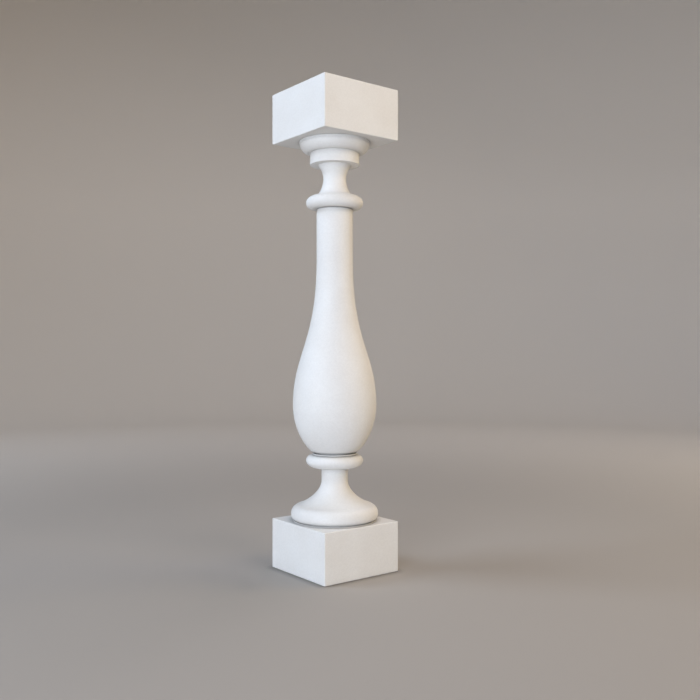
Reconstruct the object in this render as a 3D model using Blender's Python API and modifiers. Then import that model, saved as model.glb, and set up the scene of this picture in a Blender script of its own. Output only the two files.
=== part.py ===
"""A turned stone baluster with a square block at each end, all one piece of stone.

Metres, +Z up. The origin is at the centre of the underside, and the baluster stands on it.
"""

import math

import bmesh
import bpy
from mathutils import Vector
from mathutils.geometry import interpolate_bezier

# Whole baluster
HEIGHT = 0.740
BLOCK_WIDTH = 0.140
TOP_BLOCK_HEIGHT = 0.078
PLINTH_HEIGHT = 0.077
ARRIS = 0.0015

# How finely the turned body is cut: flats round the axis, then steps along each stretch of its outline
SEGMENTS = 48
OVOLO_STEPS = 6
UPPER_NECK_STEPS = (5, 6)
RING_STEPS = 5
LONG_CURVE_STEPS = 14
BELLY_FOOT_STEPS = 9
LOWER_NECK_STEPS = 3
BELL_STEPS = 8
SHOULDER_STEPS = 5
TORUS_FOOT_STEPS = 4
ARRIS_SEGMENTS = 2
SHARP_ANGLE = math.radians(32)

# Ovolo under the top block, with the fillet above it
TOP_FILLET_RADIUS = 0.055
TOP_FILLET_HEIGHT = 0.003
OVOLO_RADIUS = 0.054
OVOLO_HEIGHT = 0.0146

# Plain collar below the ovolo
COLLAR_RADIUS = 0.0383
COLLAR_HEIGHT = 0.0179

# Upper neck, hollowed between the collar and the upper ring
UPPER_NECK_RADIUS = 0.0175
UPPER_NECK_LEVEL = 0.606
UPPER_NECK_TOP_RADIUS = 0.0254
UPPER_NECK_TOP_FLARE = Vector((0.0045, 0.0058))
UPPER_NECK_FOOT_FLARE = Vector((0.0067, -0.0052))
UPPER_NECK_PULL_UP = 0.0063
UPPER_NECK_PULL_DOWN = 0.0089

# The two rings are alike. The flatter side of each faces its shaft or belly, and the rounder its neck.
RING_RADIUS = 0.0442
RING_FLAT_SIDE_RADIUS = 0.0342
RING_NECK_SIDE_RADIUS = 0.0282
RING_NECK_SIDE = 0.0113
UPPER_RING_LEVEL = 0.568
UPPER_RING_FLAT_SIDE = 0.0095
LOWER_RING_LEVEL = 0.1695
LOWER_RING_FLAT_SIDE = 0.0087

# Shaft and belly, one long curve
SHAFT_RADIUS = 0.028
SHAFT_FOOT_LEVEL = 0.481
SHAFT_PULL = 0.131
BELLY_RADIUS = 0.0647
BELLY_LEVEL = 0.2548
BELLY_PULL_UP = 0.081
BELLY_PULL_DOWN = 0.034
BELLY_FOOT_RADIUS = 0.0357
BELLY_FOOT_LEVEL = 0.1834
BELLY_FOOT_FLARE = Vector((0.0123, 0.0091))

# Narrow quirk and fillet between the belly and the lower ring
QUIRK_RADIUS = 0.028
QUIRK_HEIGHT = 0.0026
MIDDLE_FILLET_RADIUS = 0.0342

# Lower neck, which opens out into the bell
LOWER_NECK_TOP_RADIUS = 0.0206
LOWER_NECK_RADIUS = 0.0202
LOWER_NECK_LEVEL = 0.1392
LOWER_NECK_PULL_UP = 0.006
LOWER_NECK_PULL_DOWN = 0.020
BELL_TURN_RADIUS = 0.0566
BELL_TURN_LEVEL = 0.1015
BELL_INWARD_PULL = Vector((-0.009, 0.0022))
BELL_OUTWARD_PULL = Vector((0.0048, -0.0012))

# Base torus, with a low quirk under its rounded underside, then a thin fillet on the plinth
TORUS_RADIUS = 0.0675
TORUS_LEVEL = 0.0876
TORUS_SHOULDER_PULL = 0.0082
TORUS_FOOT_RADIUS = 0.064
BASE_QUIRK_RADIUS = 0.0612
BASE_QUIRK_HEIGHT = 0.0015
BASE_FILLET_RADIUS = 0.0638
BASE_FILLET_HEIGHT = 0.0013

# How far the turned body runs into each block, so that the three shapes fuse
EMBED = 0.010
MERGE_DISTANCE = 0.00001

# Where a quarter of an ellipse starts, in degrees from its outermost point
AT_TOP = 90
AT_SIDE = 0

STONE_COLOUR = (0.80, 0.80, 0.79, 1.0)
STONE_ROUGHNESS = 0.72


def clear_scene():
    for existing in list(bpy.data.objects):
        bpy.data.objects.remove(existing, do_unlink=True)


def curve(start, start_handle, end_handle, end, steps):
    """Points along a smooth curve between two (radius, level) pairs, both ends included."""
    corners = [Vector((p[0], p[1], 0)) for p in (start, start_handle, end_handle, end)]
    return [(p.x, p.y) for p in interpolate_bezier(*corners, steps + 1)]


def quarter(centre, reach, start_degrees, steps):
    """Points along a quarter of an ellipse, running clockwise, both ends included."""
    points = []
    for step in range(steps + 1):
        angle = math.radians(start_degrees - 90 * step / steps)
        points.append((centre[0] + reach[0] * math.cos(angle), centre[1] + reach[1] * math.sin(angle)))
    return points


def ring(level, above, below):
    """A ring's outer side from top to bottom. above and below are (inner radius, height) of its halves."""
    upper = quarter((above[0], level), (RING_RADIUS - above[0], above[1]), AT_TOP, RING_STEPS)
    lower = quarter((below[0], level), (RING_RADIUS - below[0], below[1]), AT_SIDE, RING_STEPS)
    return upper + lower[1:]


def head():
    """Fillet, ovolo and collar under the top block."""
    fillet_foot = HEIGHT - TOP_BLOCK_HEIGHT - TOP_FILLET_HEIGHT
    ovolo_foot = fillet_foot - OVOLO_HEIGHT
    fillet = [
        (0, HEIGHT - TOP_BLOCK_HEIGHT + EMBED),
        (TOP_FILLET_RADIUS, HEIGHT - TOP_BLOCK_HEIGHT + EMBED),
        (TOP_FILLET_RADIUS, fillet_foot),
    ]
    reach = (OVOLO_RADIUS - COLLAR_RADIUS, OVOLO_HEIGHT)
    ovolo = quarter((COLLAR_RADIUS, fillet_foot), reach, AT_SIDE, OVOLO_STEPS)
    collar = [(COLLAR_RADIUS, ovolo_foot - COLLAR_HEIGHT)]
    return fillet + ovolo + collar


def upper_neck():
    """Hollow neck from the collar's underside down to the upper ring, and the ring."""
    collar_foot = HEIGHT - TOP_BLOCK_HEIGHT - TOP_FILLET_HEIGHT - OVOLO_HEIGHT - COLLAR_HEIGHT
    top = Vector((UPPER_NECK_TOP_RADIUS, collar_foot))
    waist = Vector((UPPER_NECK_RADIUS, UPPER_NECK_LEVEL))
    foot = Vector((RING_NECK_SIDE_RADIUS, UPPER_RING_LEVEL + RING_NECK_SIDE))
    waist_up = waist + Vector((0, UPPER_NECK_PULL_UP))
    waist_down = waist - Vector((0, UPPER_NECK_PULL_DOWN))
    above = curve(top, top - UPPER_NECK_TOP_FLARE, waist_up, waist, UPPER_NECK_STEPS[0])
    below = curve(waist, waist_down, foot - UPPER_NECK_FOOT_FLARE, foot, UPPER_NECK_STEPS[1])
    neck_side = (RING_NECK_SIDE_RADIUS, RING_NECK_SIDE)
    flat_side = (RING_FLAT_SIDE_RADIUS, UPPER_RING_FLAT_SIDE)
    return above + below[1:] + ring(UPPER_RING_LEVEL, neck_side, flat_side)[1:]


def shaft_and_belly():
    """Straight shaft under the upper ring, then the long curve into the belly and round its foot."""
    foot = Vector((SHAFT_RADIUS, SHAFT_FOOT_LEVEL))
    widest = Vector((BELLY_RADIUS, BELLY_LEVEL))
    end = Vector((BELLY_FOOT_RADIUS, BELLY_FOOT_LEVEL))
    shaft = [(SHAFT_RADIUS, UPPER_RING_LEVEL - UPPER_RING_FLAT_SIDE)]
    foot_down = foot - Vector((0, SHAFT_PULL))
    widest_up = widest + Vector((0, BELLY_PULL_UP))
    widest_down = widest - Vector((0, BELLY_PULL_DOWN))
    long_curve = curve(foot, foot_down, widest_up, widest, LONG_CURVE_STEPS)
    belly = curve(widest, widest_down, end + BELLY_FOOT_FLARE, end, BELLY_FOOT_STEPS)
    return shaft + long_curve + belly[1:]


def quirk_and_lower_ring():
    """Recess under the belly, the fillet below it, and the lower ring."""
    quirk_foot = BELLY_FOOT_LEVEL - QUIRK_HEIGHT
    quirk = [
        (QUIRK_RADIUS, BELLY_FOOT_LEVEL),
        (QUIRK_RADIUS, quirk_foot),
        (MIDDLE_FILLET_RADIUS, quirk_foot),
    ]
    flat_side = (RING_FLAT_SIDE_RADIUS, LOWER_RING_FLAT_SIDE)
    neck_side = (RING_NECK_SIDE_RADIUS, RING_NECK_SIDE)
    return quirk + ring(LOWER_RING_LEVEL, flat_side, neck_side)


def lower_neck_and_torus():
    """Neck, bell and base torus, then the quirk and fillet under it, down into the plinth."""
    top = Vector((LOWER_NECK_TOP_RADIUS, LOWER_RING_LEVEL - RING_NECK_SIDE))
    waist = Vector((LOWER_NECK_RADIUS, LOWER_NECK_LEVEL))
    turn = Vector((BELL_TURN_RADIUS, BELL_TURN_LEVEL))
    rim = Vector((TORUS_RADIUS, TORUS_LEVEL))
    pull_up = Vector((0, LOWER_NECK_PULL_UP))
    waist_down = waist - Vector((0, LOWER_NECK_PULL_DOWN))
    rim_up = rim + Vector((0, TORUS_SHOULDER_PULL))
    neck = curve(top, top - pull_up, waist + pull_up, waist, LOWER_NECK_STEPS)
    bell = curve(waist, waist_down, turn + BELL_INWARD_PULL, turn, BELL_STEPS)
    shoulder = curve(turn, turn + BELL_OUTWARD_PULL, rim_up, rim, SHOULDER_STEPS)
    quirk_foot = PLINTH_HEIGHT + BASE_FILLET_HEIGHT
    quirk_top = quirk_foot + BASE_QUIRK_HEIGHT
    reach = (TORUS_RADIUS - TORUS_FOOT_RADIUS, TORUS_LEVEL - quirk_top)
    underside = quarter((TORUS_FOOT_RADIUS, TORUS_LEVEL), reach, AT_SIDE, TORUS_FOOT_STEPS)
    quirk = [
        (BASE_QUIRK_RADIUS, quirk_top),
        (BASE_QUIRK_RADIUS, quirk_foot),
    ]
    fillet = [
        (BASE_FILLET_RADIUS, quirk_foot),
        (BASE_FILLET_RADIUS, PLINTH_HEIGHT - EMBED),
        (0, PLINTH_HEIGHT - EMBED),
    ]
    return neck + bell[1:] + shoulder[1:] + underside[1:] + quirk + fillet


def turned_body(collection):
    """The whole turned body, as one profile screwed round the axis."""
    outline = head() + upper_neck() + shaft_and_belly() + quirk_and_lower_ring() + lower_neck_and_torus()
    mesh = bpy.data.meshes.new("turned_body")
    edges = [(index, index + 1) for index in range(len(outline) - 1)]
    mesh.from_pydata([(radius, 0, level) for radius, level in outline], edges, [])
    body = bpy.data.objects.new("turned_body", mesh)
    collection.objects.link(body)
    screw = body.modifiers.new("Turn", "SCREW")
    screw.axis = "Z"
    screw.steps = SEGMENTS
    screw.render_steps = SEGMENTS
    screw.use_merge_vertices = True
    screw.merge_threshold = MERGE_DISTANCE
    hide_helper(body)
    return body


def square_block(name, underside, height, collection):
    """A square block with slightly softened arrises, standing on the level of its underside."""
    mesh = bpy.data.meshes.new(name)
    shape = bmesh.new()
    bmesh.ops.create_cube(shape, size=1)
    bmesh.ops.scale(shape, vec=(BLOCK_WIDTH, BLOCK_WIDTH, height), verts=shape.verts)
    shape.to_mesh(mesh)
    shape.free()
    block = bpy.data.objects.new(name, mesh)
    block.location.z = underside + height / 2
    collection.objects.link(block)
    bevel = block.modifiers.new("Arris", "BEVEL")
    bevel.width = ARRIS
    bevel.segments = ARRIS_SEGMENTS
    return block


def hide_helper(helper):
    helper.hide_render = True
    helper.display_type = "WIRE"


def fuse(target, others):
    """Joins the other shapes to the target, so that it is one closed body."""
    for other in others:
        union = target.modifiers.new("Fuse " + other.name, "BOOLEAN")
        union.operation = "UNION"
        union.object = other
    evaluated = target.evaluated_get(bpy.context.evaluated_depsgraph_get())
    fused = bpy.data.meshes.new_from_object(evaluated)
    target.modifiers.clear()
    target.data = fused
    fused.name = target.name
    fused.shade_smooth()
    fused.set_sharp_from_angle(angle=SHARP_ANGLE)


def stone():
    material = bpy.data.materials.new("white_stone")
    material.use_nodes = True
    shader = material.node_tree.nodes["Principled BSDF"]
    shader.inputs["Base Color"].default_value = STONE_COLOUR
    shader.inputs["Roughness"].default_value = STONE_ROUGHNESS
    shader.inputs["Metallic"].default_value = 0.0
    return material


def build():
    clear_scene()
    parts = bpy.data.collections.new("stone_baluster")
    helpers = bpy.data.collections.new("stone_baluster_helpers")
    bpy.context.scene.collection.children.link(parts)
    bpy.context.scene.collection.children.link(helpers)

    baluster = square_block("baluster", 0, PLINTH_HEIGHT, parts)
    top_block = square_block("top_block", HEIGHT - TOP_BLOCK_HEIGHT, TOP_BLOCK_HEIGHT, helpers)
    hide_helper(top_block)
    body = turned_body(helpers)
    bpy.context.view_layer.update()
    fuse(baluster, [body, top_block])
    baluster.data.materials.clear()
    baluster.data.materials.append(stone())


build()
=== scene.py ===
import math

import bpy
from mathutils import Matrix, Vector


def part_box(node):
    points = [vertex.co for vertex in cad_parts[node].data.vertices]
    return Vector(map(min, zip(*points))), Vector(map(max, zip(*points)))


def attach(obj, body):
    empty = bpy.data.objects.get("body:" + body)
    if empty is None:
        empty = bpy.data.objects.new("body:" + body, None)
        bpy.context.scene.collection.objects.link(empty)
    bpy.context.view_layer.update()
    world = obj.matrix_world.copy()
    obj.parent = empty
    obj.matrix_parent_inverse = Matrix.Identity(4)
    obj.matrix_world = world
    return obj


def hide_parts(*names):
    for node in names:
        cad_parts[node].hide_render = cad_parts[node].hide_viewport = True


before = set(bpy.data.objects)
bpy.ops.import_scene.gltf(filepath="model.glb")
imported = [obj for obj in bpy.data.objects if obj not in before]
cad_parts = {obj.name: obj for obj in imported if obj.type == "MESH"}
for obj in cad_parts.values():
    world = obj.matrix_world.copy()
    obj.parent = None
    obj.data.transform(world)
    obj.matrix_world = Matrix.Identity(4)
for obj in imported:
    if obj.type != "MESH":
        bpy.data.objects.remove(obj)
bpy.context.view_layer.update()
lowCorner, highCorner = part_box("baluster")
print("Packed baluster loaded, standing on level", round(lowCorner.z, 4))

mm = 0.001  # in metres, as every object here is
snap = 0.01 * mm  # how close two places are when they count as one


# Small helpers that several pieces of work share

def selectOnly(piece):
    bpy.ops.object.select_all(action="DESELECT")
    piece.select_set(True)
    bpy.context.view_layer.objects.active = piece


def selectInMesh(piece, vertexTest):
    # Leaves the piece in edit mode with only the vertices that pass the test selected
    selectOnly(piece)
    bpy.ops.object.mode_set(mode="EDIT")
    bpy.ops.mesh.select_mode(type="VERT")
    bpy.ops.mesh.select_all(action="DESELECT")
    bpy.ops.object.mode_set(mode="OBJECT")
    for vertex in piece.data.vertices:
        vertex.select = vertexTest(vertex.co)
    bpy.ops.object.mode_set(mode="EDIT")


def applyModifier(piece, kind, **settings):
    selectOnly(piece)
    bpy.ops.object.modifier_add(type=kind)
    modifier = piece.modifiers[-1]
    for name, value in settings.items():
        setattr(modifier, name, value)
    bpy.ops.object.modifier_apply(modifier=modifier.name)


def linearColour(hexColour):
    # From an sRGB hex colour to the linear numbers that Blender's sockets take
    channels = [int(hexColour[place:place + 2], 16) / 255 for place in (0, 2, 4)]
    return [c / 12.92 if c <= 0.04045 else ((c + 0.055) / 1.055) ** 2.4 for c in channels] + [1.0]


# A Mix node has several sockets of each name, so they go by number, as a Math node's do
mixShare = 0
mixFirst = 6
mixSecond = 7
mixResult = 2


def addNode(tree, kind, inputs=None, **settings):
    # One node with its settings. An input takes a plain value or another node's output.
    node = tree.nodes.new(kind)
    for name, value in settings.items():
        setattr(node, name, value)
    for name, value in (inputs or {}).items():
        if isinstance(value, bpy.types.NodeSocket):
            tree.links.new(value, node.inputs[name])
        else:
            node.inputs[name].default_value = value
    return node


# The baluster, one stone from the plinth to the top block.
# Millimetres: a radius is from the axis, a level from the underside. A pull is a curve's handle,
# as (outward, upward) from its point, or as a length where the curve runs on straight up or down.
baluster = {
    "height": (highCorner.z - lowCorner.z) / mm,
    "blockWidth": (highCorner.x - lowCorner.x) / mm,
    "topBlockHeight": 78,
    "plinthHeight": 77,
    "arris": 1.5,
    "arrisSteps": 4,
    "flatsRound": 160,
    "stepsPerCurve": 22,
    "softenSteps": 3,
    "embed": 10,  # how far the turned body runs into each block before they are fused
    "sharpAngle": 32,  # in degrees, and an edge that turns more than this stays sharp
    # fillet, ovolo and collar under the top block
    "topFilletRadius": 55,
    "topFilletHeight": 3,
    "ovoloRadius": 54,
    "ovoloHeight": 14.6,
    "collarRadius": 38.3,
    "collarHeight": 17.9,
    # upper neck
    "upperNeckTopRadius": 25.4,
    "upperNeckTopPull": (-4.5, -5.8),
    "upperNeckRadius": 17.5,
    "upperNeckLevel": 606,
    "upperNeckPullUp": 6.3,
    "upperNeckPullDown": 8.9,
    "upperNeckFootPull": (-6.7, 5.2),
    # the two rings, whose rounder sides face their necks
    "ringRadius": 44.2,
    "ringFlatSideRadius": 34.2,
    "ringNeckSideRadius": 28.2,
    "ringNeckSide": 11.3,
    "ringNeckSideFullness": 0.61,  # a quarter ellipse would be 0.55
    "upperRingLevel": 568,
    "upperRingFlatSide": 9.5,
    "lowerRingLevel": 169.5,
    "lowerRingFlatSide": 8.7,
    # shaft, with a fine groove where it meets the ring, and belly
    "shaftGrooveHeight": 1.2,
    "shaftGrooveDepth": 1.9,
    "shaftRadius": 28,
    "shaftFootLevel": 481,
    "shaftPull": 131,
    "bellyRadius": 64.7,
    "bellyLevel": 254.8,
    "bellyPullUp": 81,
    "bellyPullDown": 34,
    "bellyFootRadius": 35.7,
    "bellyFootLevel": 183.4,
    "bellyFootPull": (12.3, 9.1),
    # quirk under the belly, then a fillet with a fine groove at its foot
    "quirkRadius": 28,
    "quirkHeight": 2.6,
    "grooveHeight": 0.9,
    "grooveDepth": 1.6,
    # lower neck, which opens out into the bell
    "lowerNeckTopRadius": 20.6,
    "lowerNeckRadius": 20.2,
    "lowerNeckLevel": 139.2,
    "lowerNeckPullUp": 6,
    "lowerNeckPullDown": 20,
    "bellTurnRadius": 56.6,
    "bellTurnLevel": 101.5,
    "bellPullIn": (-9, 2.2),
    "bellPullOut": (4.8, -1.2),
    # base torus, and under it a low quirk over a thin fillet
    "torusRadius": 67.5,
    "torusLevel": 87.6,
    "torusPullUp": 8.2,
    "torusFootRadius": 64,
    "baseQuirkRadius": 61.2,
    "baseQuirkHeight": 1.5,
    "baseFilletRadius": 63.8,
    "baseFilletHeight": 1.3,
    # how far each kind of corner is eased
    "easeEdge": 0.6,
    "easeCrease": 0.4,
    "easeFine": 0.15,
    "easeNeck": 1.0,
}
quarterPull = 0.5523  # the handle length that makes a quarter round, as a share of its reach


def outlinePoint(radius, level, pullIn=None, pullOut=None, ease=0):
    # pullIn is the handle towards the point above, pullOut towards the one below. None runs straight.
    return {"radius": radius, "level": level, "pullIn": pullIn, "pullOut": pullOut, "ease": ease}


def headOutline(b):
    blockFoot = b["height"] - b["topBlockHeight"]
    filletFoot = blockFoot - b["topFilletHeight"]
    ovoloFoot = filletFoot - b["ovoloHeight"]
    ovoloReach = b["ovoloRadius"] - b["collarRadius"]
    return [
        outlinePoint(0, blockFoot + b["embed"]),
        outlinePoint(b["topFilletRadius"], blockFoot + b["embed"]),
        outlinePoint(b["topFilletRadius"], filletFoot, ease=b["easeCrease"]),
        outlinePoint(b["ovoloRadius"], filletFoot, pullOut=(0, -quarterPull * b["ovoloHeight"])),
        outlinePoint(
            b["collarRadius"], ovoloFoot, pullIn=(quarterPull * ovoloReach, 0), ease=b["easeCrease"]
        ),
        outlinePoint(b["collarRadius"], ovoloFoot - b["collarHeight"], ease=b["easeEdge"]),
    ]


def upperNeckOutline(b):
    headHeights = ("topBlockHeight", "topFilletHeight", "ovoloHeight", "collarHeight")
    collarFoot = b["height"] - sum(b[name] for name in headHeights)
    neckReach = b["ringRadius"] - b["ringNeckSideRadius"]
    flatReach = b["ringRadius"] - b["ringFlatSideRadius"]
    ringFoot = b["upperRingLevel"] - b["upperRingFlatSide"]
    return [
        outlinePoint(
            b["upperNeckTopRadius"], collarFoot, pullOut=b["upperNeckTopPull"], ease=b["easeCrease"]
        ),
        outlinePoint(
            b["upperNeckRadius"],
            b["upperNeckLevel"],
            pullIn=(0, b["upperNeckPullUp"]),
            pullOut=(0, -b["upperNeckPullDown"]),
        ),
        outlinePoint(
            b["ringNeckSideRadius"],
            b["upperRingLevel"] + b["ringNeckSide"],
            pullIn=b["upperNeckFootPull"],
            pullOut=(b["ringNeckSideFullness"] * neckReach, 0),
        ),
        outlinePoint(
            b["ringRadius"],
            b["upperRingLevel"],
            pullIn=(0, b["ringNeckSideFullness"] * b["ringNeckSide"]),
            pullOut=(0, -quarterPull * b["upperRingFlatSide"]),
        ),
        outlinePoint(b["ringFlatSideRadius"], ringFoot, pullIn=(quarterPull * flatReach, 0)),
    ]


def bellyOutline(b):
    ringFoot = b["upperRingLevel"] - b["upperRingFlatSide"]
    grooveRadius = b["shaftRadius"] - b["shaftGrooveDepth"]
    return [
        outlinePoint(grooveRadius, ringFoot),
        outlinePoint(grooveRadius, ringFoot - b["shaftGrooveHeight"]),
        outlinePoint(b["shaftRadius"], ringFoot - b["shaftGrooveHeight"], ease=b["easeFine"]),
        outlinePoint(b["shaftRadius"], b["shaftFootLevel"], pullOut=(0, -b["shaftPull"])),
        outlinePoint(
            b["bellyRadius"],
            b["bellyLevel"],
            pullIn=(0, b["bellyPullUp"]),
            pullOut=(0, -b["bellyPullDown"]),
        ),
        outlinePoint(
            b["bellyFootRadius"], b["bellyFootLevel"], pullIn=b["bellyFootPull"], ease=b["easeCrease"]
        ),
    ]


def lowerRingOutline(b):
    filletTop = b["bellyFootLevel"] - b["quirkHeight"]
    ringTop = b["lowerRingLevel"] + b["lowerRingFlatSide"]
    grooveRadius = b["ringFlatSideRadius"] - b["grooveDepth"]
    flatReach = b["ringRadius"] - b["ringFlatSideRadius"]
    neckReach = b["ringRadius"] - b["ringNeckSideRadius"]
    return [
        outlinePoint(b["quirkRadius"], b["bellyFootLevel"]),
        outlinePoint(b["quirkRadius"], filletTop),
        outlinePoint(b["ringFlatSideRadius"], filletTop, ease=b["easeCrease"]),
        outlinePoint(b["ringFlatSideRadius"], ringTop + b["grooveHeight"], ease=b["easeFine"]),
        outlinePoint(grooveRadius, ringTop + b["grooveHeight"]),
        outlinePoint(grooveRadius, ringTop),
        outlinePoint(b["ringFlatSideRadius"], ringTop, pullOut=(quarterPull * flatReach, 0)),
        outlinePoint(
            b["ringRadius"],
            b["lowerRingLevel"],
            pullIn=(0, quarterPull * b["lowerRingFlatSide"]),
            pullOut=(0, -quarterPull * b["ringNeckSide"]),
        ),
        outlinePoint(
            b["ringNeckSideRadius"],
            b["lowerRingLevel"] - b["ringNeckSide"],
            pullIn=(quarterPull * neckReach, 0),
        ),
    ]


def baseOutline(b):
    ringFoot = b["lowerRingLevel"] - b["ringNeckSide"]
    filletTop = b["plinthHeight"] + b["baseFilletHeight"]
    quirkTop = filletTop + b["baseQuirkHeight"]
    footReach = (b["torusRadius"] - b["torusFootRadius"], b["torusLevel"] - quirkTop)
    return [
        outlinePoint(
            b["lowerNeckTopRadius"], ringFoot, pullOut=(0, -b["lowerNeckPullUp"]), ease=b["easeNeck"]
        ),
        outlinePoint(
            b["lowerNeckRadius"],
            b["lowerNeckLevel"],
            pullIn=(0, b["lowerNeckPullUp"]),
            pullOut=(0, -b["lowerNeckPullDown"]),
        ),
        outlinePoint(
            b["bellTurnRadius"], b["bellTurnLevel"], pullIn=b["bellPullIn"], pullOut=b["bellPullOut"]
        ),
        outlinePoint(
            b["torusRadius"],
            b["torusLevel"],
            pullIn=(0, b["torusPullUp"]),
            pullOut=(0, -quarterPull * footReach[1]),
        ),
        outlinePoint(b["torusFootRadius"], quirkTop, pullIn=(quarterPull * footReach[0], 0)),
        outlinePoint(b["baseQuirkRadius"], quirkTop),
        outlinePoint(b["baseQuirkRadius"], filletTop),
        outlinePoint(b["baseFilletRadius"], filletTop, ease=b["easeFine"]),
        outlinePoint(b["baseFilletRadius"], b["plinthHeight"] - b["embed"]),
        outlinePoint(0, b["plinthHeight"] - b["embed"]),
    ]


def drawOutline(points, stepsPerCurve):
    # The half outline as one Bezier curve on the XZ plane, made a mesh
    bpy.ops.object.select_all(action="DESELECT")
    bpy.ops.curve.primitive_bezier_curve_add(location=(0, 0, 0))
    outline = bpy.context.object
    outline.name = "turnedOutline"
    outline.data.dimensions = "3D"
    spline = outline.data.splines[0]
    spline.resolution_u = stepsPerCurve
    spline.bezier_points.add(len(points) - len(spline.bezier_points))
    for knot, point in zip(spline.bezier_points, points):
        place = Vector((point["radius"], 0, point["level"]))
        knot.co = place * mm
        for side, pull in (("left", point["pullIn"]), ("right", point["pullOut"])):
            setattr(knot, f"handle_{side}_type", "FREE" if pull else "VECTOR")
            if pull:
                setattr(knot, f"handle_{side}", (place + Vector((pull[0], 0, pull[1]))) * mm)
    selectOnly(outline)
    bpy.ops.object.convert(target="MESH")
    return bpy.context.object


def easeCorners(outline, points, steps):
    # Rounds the outline's corners, all those of one size at a time
    for ease in sorted({point["ease"] for point in points if point["ease"]}):
        places = [Vector((p["radius"], 0, p["level"])) * mm for p in points if p["ease"] == ease]
        selectInMesh(outline, lambda co: any((co - place).length < snap for place in places))
        bpy.ops.mesh.bevel(offset=ease * mm, segments=steps, affect="VERTICES")
        bpy.ops.object.mode_set(mode="OBJECT")


def spinOutline(outline, flatsRound):
    selectInMesh(outline, lambda co: True)
    bpy.ops.mesh.spin(steps=flatsRound, angle=2 * math.pi, center=(0, 0, 0), axis=(0, 0, 1))
    bpy.ops.mesh.select_all(action="SELECT")
    bpy.ops.mesh.remove_doubles(threshold=snap)
    bpy.ops.mesh.normals_make_consistent(inside=False)
    bpy.ops.object.mode_set(mode="OBJECT")


def turnBody(b):
    points = headOutline(b) + upperNeckOutline(b) + bellyOutline(b)
    points += lowerRingOutline(b) + baseOutline(b)
    body = drawOutline(points, b["stepsPerCurve"])
    easeCorners(body, points, b["softenSteps"])
    spinOutline(body, b["flatsRound"])
    return body


def squareBlock(b, foot, height):
    # One of the two square blocks, with its arrises rubbed round
    bpy.ops.object.select_all(action="DESELECT")
    width = b["blockWidth"] * mm
    bpy.ops.mesh.primitive_cube_add(
        size=1, location=(0, 0, (foot + height / 2) * mm), scale=(width, width, height * mm)
    )
    block = bpy.context.object
    bpy.ops.object.transform_apply(location=True, rotation=True, scale=True)
    selectInMesh(block, lambda co: True)
    bpy.ops.mesh.bevel(offset=b["arris"] * mm, segments=b["arrisSteps"], affect="EDGES")
    bpy.ops.object.mode_set(mode="OBJECT")
    return block


def makeBaluster(b):
    stone = turnBody(b)
    print("Body turned:", len(stone.data.polygons), "faces")
    plinth = squareBlock(b, 0, b["plinthHeight"])
    topBlock = squareBlock(b, b["height"] - b["topBlockHeight"], b["topBlockHeight"])
    for block in (plinth, topBlock):
        applyModifier(stone, "BOOLEAN", operation="UNION", solver="EXACT", object=block)
        bpy.data.objects.remove(block, do_unlink=True)
    stone.name = stone.data.name = "stoneBaluster"
    selectOnly(stone)
    bpy.ops.object.shade_smooth_by_angle(angle=math.radians(b["sharpAngle"]))
    applyModifier(stone, "WEIGHTED_NORMAL", keep_sharp=True)
    print("Blocks fused on:", len(stone.data.polygons), "faces")
    return stone


# Cast stone: white cement and crushed white marble, cast in a mould and then honed by hand.
# To the eye it is an even, matt off-white, faintly clouded where it cured, with a fine sandy grain,
# a few pinholes where air was caught, and no veins. Grey painted shade darkens the creases and the
# pinholes, where less light reaches. Sizes are in millimetres.
castStone = {
    "paleColour": "eaeae8",
    "warmColour": "e6e5e2",
    "cloudSize": 60,
    "cloudDetail": 3.0,
    "cloudRange": (0.35, 0.65),  # the noise at which the one white is pure, and the other
    "mottleSize": 5,
    "mottleDetail": 2.0,
    "mottleRange": (0.3, 0.7),  # nearly all of the noise lies in this part of 0 to 1
    "mottleStrength": 0.008,
    "grainSize": 1.7,  # the real grains are 0.3 to 0.8 mm, too fine to show, so they are drawn coarser
    "grainStrength": 0.022,
    "grainHeight": 0.02,
    "unevenSize": 18,  # the low unevenness that honing by hand leaves
    "unevenDetail": 1.0,
    "unevenHeight": 0.05,
    "pinholeSpacing": 13,
    "pinholeRadius": 0.6,
    "pinholeShare": 0.4,
    # the pinholes' darkening is painted shade in their hollows
    "pinholePaintedShade": 0.09,
    "pinholeDepth": 0.3,
    # Painted crease shade: the stone is mixed towards this dark grey where it is least open
    "creaseShadeColour": "6f6c68",
    "creaseShadeReach": 9,  # how far the painted shade spreads from the bottom of a crease
    "creaseShadeShare": 0.7,
    "creaseShadeRays": 8,
    "smoothest": 0.58,
    "roughest": 0.70,
    "ior": 1.5,  # typical of cement and of marble
}


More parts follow.
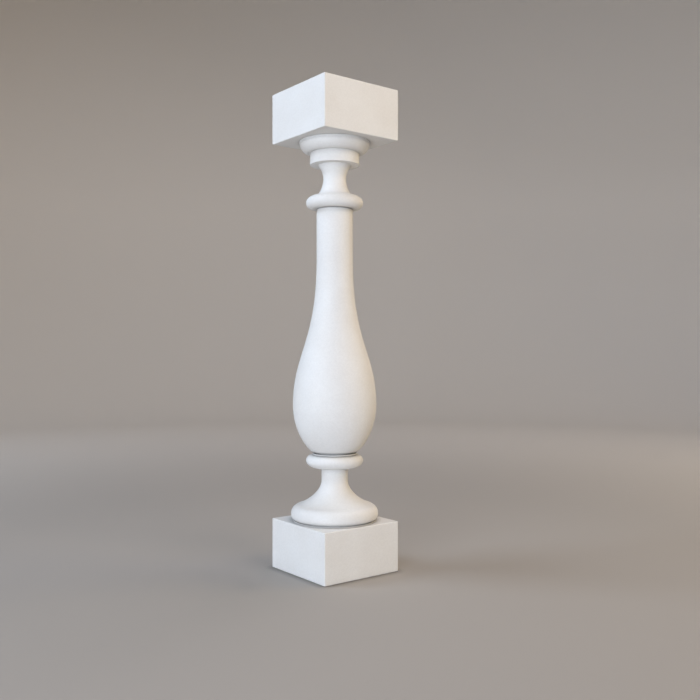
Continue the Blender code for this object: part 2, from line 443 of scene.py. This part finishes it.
def honedCastStone(s):
    material = bpy.data.materials.new("honedWhiteCastStone")
    material.use_nodes = True
    tree = material.node_tree
    tree.nodes.clear()
    place = addNode(tree, "ShaderNodeTexCoord").outputs["Object"]
    clouds = addNode(
        tree, "ShaderNodeTexNoise",
        {"Vector": place, "Scale": 1 / (s["cloudSize"] * mm), "Detail": s["cloudDetail"]},
    )
    mottle = addNode(
        tree, "ShaderNodeTexNoise",
        {"Vector": place, "Scale": 1 / (s["mottleSize"] * mm), "Detail": s["mottleDetail"]},
    )
    grain = addNode(
        tree, "ShaderNodeTexVoronoi",
        {"Vector": place, "Scale": 1 / (s["grainSize"] * mm)},
    )
    uneven = addNode(
        tree, "ShaderNodeTexNoise",
        {"Vector": place, "Scale": 1 / (s["unevenSize"] * mm), "Detail": s["unevenDetail"]},
    )

    # A pinhole is the middle of a wide cell, and only some of the cells hold one
    pinholes = addNode(
        tree, "ShaderNodeTexVoronoi",
        {"Vector": place, "Scale": 1 / (s["pinholeSpacing"] * mm)},
    )
    chance = addNode(tree, "ShaderNodeSeparateColor", {"Color": pinholes.outputs["Color"]})
    isHeld = addNode(
        tree, "ShaderNodeMath",
        {0: chance.outputs["Red"], 1: s["pinholeShare"]},
        operation="LESS_THAN",
    )
    hollow = addNode(
        tree, "ShaderNodeMapRange",
        {
            "Value": pinholes.outputs["Distance"],
            "From Min": s["pinholeRadius"] / s["pinholeSpacing"],
            "From Max": 0.0,
        },
    )
    pinhole = addNode(
        tree, "ShaderNodeMath",
        {0: hollow.outputs["Result"], 1: isHeld.outputs["Value"]},
        operation="MULTIPLY",
    )

    # Colour: clouds between two whites, painted shade in the creases, then the grains, mottle and
    # pinholes
    cloudShare = addNode(
        tree, "ShaderNodeMapRange",
        {
            "Value": clouds.outputs["Fac"],
            "From Min": s["cloudRange"][0],
            "From Max": s["cloudRange"][1],
        },
    )
    clouded = addNode(
        tree, "ShaderNodeMix",
        {
            mixShare: cloudShare.outputs["Result"],
            mixFirst: linearColour(s["paleColour"]),
            mixSecond: linearColour(s["warmColour"]),
        },
        data_type="RGBA",
    )
    # Painted shade in the creases: the less open a place is within the reach, the more dark grey is
    # mixed in
    openness = addNode(
        tree, "ShaderNodeAmbientOcclusion",
        {"Distance": s["creaseShadeReach"] * mm},
        samples=s["creaseShadeRays"],
        only_local=True,
    )
    paintedCreaseShade = addNode(
        tree, "ShaderNodeMapRange",
        {"Value": openness.outputs["AO"], "To Min": s["creaseShadeShare"], "To Max": 0.0},
    )
    creaseShaded = addNode(
        tree, "ShaderNodeMix",
        {
            mixShare: paintedCreaseShade.outputs["Result"],
            mixFirst: clouded.outputs[mixResult],
            mixSecond: linearColour(s["creaseShadeColour"]),
        },
        data_type="RGBA",
    )
    grainTone = addNode(tree, "ShaderNodeSeparateColor", {"Color": grain.outputs["Color"]})
    grainShade = addNode(
        tree, "ShaderNodeMapRange",
        {
            "Value": grainTone.outputs["Red"],
            "To Min": 1 - s["grainStrength"],
            "To Max": 1 + s["grainStrength"],
        },
    )
    mottleShade = addNode(
        tree, "ShaderNodeMapRange",
        {
            "Value": mottle.outputs["Fac"],
            "From Min": s["mottleRange"][0],
            "From Max": s["mottleRange"][1],
            "To Min": -s["mottleStrength"],
            "To Max": s["mottleStrength"],
        },
    )
    sandy = addNode(
        tree, "ShaderNodeMath",
        {0: grainShade.outputs["Result"], 1: mottleShade.outputs["Result"]},
    )
    # The pinholes are darkened with painted shade; the grains and mottle are the stone's own tone
    shade = addNode(
        tree, "ShaderNodeMath",
        {0: pinhole.outputs["Value"], 1: -s["pinholePaintedShade"], 2: sandy.outputs["Value"]},
        operation="MULTIPLY_ADD",
    )
    shaded = addNode(
        tree, "ShaderNodeHueSaturation",
        {"Color": creaseShaded.outputs[mixResult], "Value": shade.outputs["Value"]},
    )

    # Relief in metres, so at a bump distance of 1: the unevenness, then the grains on it, then the
    # pinholes in it
    unevenHeight = addNode(
        tree, "ShaderNodeMath",
        {0: uneven.outputs["Fac"], 1: s["unevenHeight"] * mm},
        operation="MULTIPLY",
    )
    grainHeight = addNode(
        tree, "ShaderNodeMath",
        {0: grain.outputs["Distance"], 1: -s["grainHeight"] * mm, 2: unevenHeight.outputs["Value"]},
        operation="MULTIPLY_ADD",
    )
    height = addNode(
        tree, "ShaderNodeMath",
        {0: pinhole.outputs["Value"], 1: -s["pinholeDepth"] * mm, 2: grainHeight.outputs["Value"]},
        operation="MULTIPLY_ADD",
    )
    relief = addNode(tree, "ShaderNodeBump", {"Height": height.outputs["Value"], "Distance": 1.0})
    roughness = addNode(
        tree, "ShaderNodeMapRange",
        {
            "Value": mottle.outputs["Fac"],
            "From Min": s["mottleRange"][0],
            "From Max": s["mottleRange"][1],
            "To Min": s["smoothest"],
            "To Max": s["roughest"],
        },
    )
    shader = addNode(
        tree, "ShaderNodeBsdfPrincipled",
        {
            "Base Color": shaded.outputs["Color"],
            "Roughness": roughness.outputs["Result"],
            "Normal": relief.outputs["Normal"],
            "IOR": s["ior"],
        },
    )
    addNode(tree, "ShaderNodeOutputMaterial", {"Surface": shader.outputs["BSDF"]})
    return material


stone = makeBaluster(baluster)
stone.data.materials.clear()
stone.data.materials.append(honedCastStone(castStone))
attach(stone, "root")
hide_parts("baluster")
print("Stone honed")


# The studio: a plain pale floor that sweeps up into an even backdrop all round, and large soft lights.
# Sizes are in millimetres.
studio = {
    "floorRadius": 2600,
    "sweepRadius": 1200,
    "backdropHeight": 3500,  # fills the view from low down too
    "flatsRound": 96,
    "stepsPerCurve": 24,
    "floorColour": "a9a49e",
    "backdropColour": "f4eee6",
    "fadeStart": 600,  # the grey under the baluster starts to fade this far out
    "fadeEnd": 2600,
    "paperRoughness": 0.8,
    "contactReach": 14,  # how far from the stone the soft shade at its foot spreads
    "contactTone": 0.5,
    "contactOpenness": 0.5,  # against an upright face half of the sky is open
    "contactRays": 4,
}

# A light's turn is its bearing in degrees anticlockwise from +X. Its distance, level and size are in
# metres, and it faces the baluster's middle. The camera stands at about 232, so what is on its left is
# towards 142 and what is on its right towards 322. The lights on the left are cool, as from a window,
# and those on the right are warm. A spread under 180 degrees is a grid on the softbox, which keeps its
# light off the floor beside it.
studioLights = {
    "lowWindow": {
        "turn": 210, "distance": 2.2, "level": 0.4, "width": 1.2, "height": 0.5, "spread": 100,
        "watts": 10.6, "colour": "e6f0ff",
    },
    "highWindow": {
        "turn": 145, "distance": 1.9, "level": 2.0, "width": 1.2, "height": 0.9, "spread": 180,
        "watts": 29.1, "colour": "d9eaff",
    },
    "highRoom": {
        "turn": 280, "distance": 1.9, "level": 2.0, "width": 1.2, "height": 0.9, "spread": 180,
        "watts": 15.4, "colour": "ffeee2",
    },
    "warmSide": {
        "turn": 325, "distance": 2.2, "level": 1.15, "width": 1.2, "height": 0.9, "spread": 150,
        "watts": 9.3, "colour": "ffe1a2",
    },
    "ceiling": {
        "turn": 0, "distance": 0.9, "level": 2.5, "width": 1.2, "height": 1.2, "spread": 180,
        "watts": 18.4, "colour": "faf7ff",
    },
}


def layFloor(s):
    backdropRadius = s["floorRadius"] + s["sweepRadius"]
    pull = quarterPull * s["sweepRadius"]
    floor = drawOutline(
        [
            outlinePoint(0, 0),
            outlinePoint(s["floorRadius"], 0, pullOut=(pull, 0)),
            outlinePoint(backdropRadius, s["sweepRadius"], pullIn=(0, -pull)),
            outlinePoint(backdropRadius, s["backdropHeight"]),
        ],
        s["stepsPerCurve"],
    )
    spinOutline(floor, s["flatsRound"])
    floor.name = floor.data.name = "studioFloor"
    bpy.ops.object.shade_smooth()
    floor.data.materials.append(studioPaper(s))


def studioPaper(s):
    # Matt printed background paper, light grey in the middle and fading to white all round, so that
    # the floor stays as pale further out, where less of the lamps' light falls
    material = bpy.data.materials.new("mattGradedPaper")
    material.use_nodes = True
    tree = material.node_tree
    tree.nodes.clear()
    place = addNode(tree, "ShaderNodeTexCoord").outputs["Object"]
    reach = addNode(tree, "ShaderNodeVectorMath", {0: place}, operation="LENGTH").outputs["Value"]
    fade = addNode(
        tree, "ShaderNodeMapRange",
        {"Value": reach, "From Min": s["fadeStart"] * mm, "From Max": s["fadeEnd"] * mm},
        interpolation_type="SMOOTHSTEP",
    )
    shade = addNode(
        tree, "ShaderNodeMix",
        {
            mixShare: fade.outputs["Result"],
            mixFirst: linearColour(s["floorColour"]),
            mixSecond: linearColour(s["backdropColour"]),
        },
        data_type="RGBA",
    )

    # A soft shade where the stone meets the paper, as even light from all round leaves it
    openness = addNode(
        tree, "ShaderNodeAmbientOcclusion",
        {"Distance": s["contactReach"] * mm},
        samples=s["contactRays"],
    )
    contact = addNode(
        tree, "ShaderNodeMapRange",
        {
            "Value": openness.outputs["AO"],
            "From Min": s["contactOpenness"],
            "To Min": s["contactTone"],
        },
    )
    grounded = addNode(
        tree, "ShaderNodeHueSaturation",
        {"Color": shade.outputs[mixResult], "Value": contact.outputs["Result"]},
    )
    shader = addNode(
        tree, "ShaderNodeBsdfPrincipled",
        {"Base Color": grounded.outputs["Color"], "Roughness": s["paperRoughness"]},
    )
    addNode(tree, "ShaderNodeOutputMaterial", {"Surface": shader.outputs["BSDF"]})
    return material


def hangLight(name, light, aim):
    turn = math.radians(light["turn"])
    reach = light["distance"]
    place = Vector((reach * math.cos(turn), reach * math.sin(turn), light["level"]))
    facing = (aim - place).to_track_quat("-Z", "Y").to_euler()
    bpy.ops.object.light_add(type="AREA", location=place, rotation=facing)
    lamp = bpy.context.object
    lamp.name = lamp.data.name = name
    lamp.data.shape = "RECTANGLE"
    lamp.data.size = light["width"]
    lamp.data.size_y = light["height"]
    lamp.data.spread = math.radians(light["spread"])
    lamp.data.energy = light["watts"]
    lamp.data.color = linearColour(light["colour"])[:3]
    lamp.visible_camera = False


layFloor(studio)
middle = (lowCorner + highCorner) / 2
for lightName, light in studioLights.items():
    hangLight(lightName, light, middle)
bpy.context.scene.view_settings.view_transform = "Standard"
print("Floor laid and", len(studioLights), "lights hung")

# The camera stands level, as in the photograph. The lens and the sensor are in millimetres, angles in
# degrees and the rest in metres.
view = {
    "lens": 42.9,
    "sensorWidth": 36,
    "turn": 37.74,  # clockwise from facing +Y
    "tilt": 90,  # up from looking straight down
    "distance": 1.2958,
    "aside": 0.0239,  # how far the baluster's axis is left of the middle of the view
    "level": 0.3403,
}


def setCamera(v):
    turn = math.radians(v["turn"])
    ahead = Vector((math.sin(turn), math.cos(turn), 0))
    right = Vector((math.cos(turn), -math.sin(turn), 0))
    place = right * v["aside"] - ahead * v["distance"] + Vector((0, 0, v["level"]))
    bpy.ops.object.camera_add(location=place, rotation=(math.radians(v["tilt"]), 0, -turn))
    camera = bpy.context.object
    camera.name = "photographView"
    camera.data.sensor_width = v["sensorWidth"]
    camera.data.lens = v["lens"]
    bpy.context.scene.camera = camera


setCamera(view)
print("Camera set")
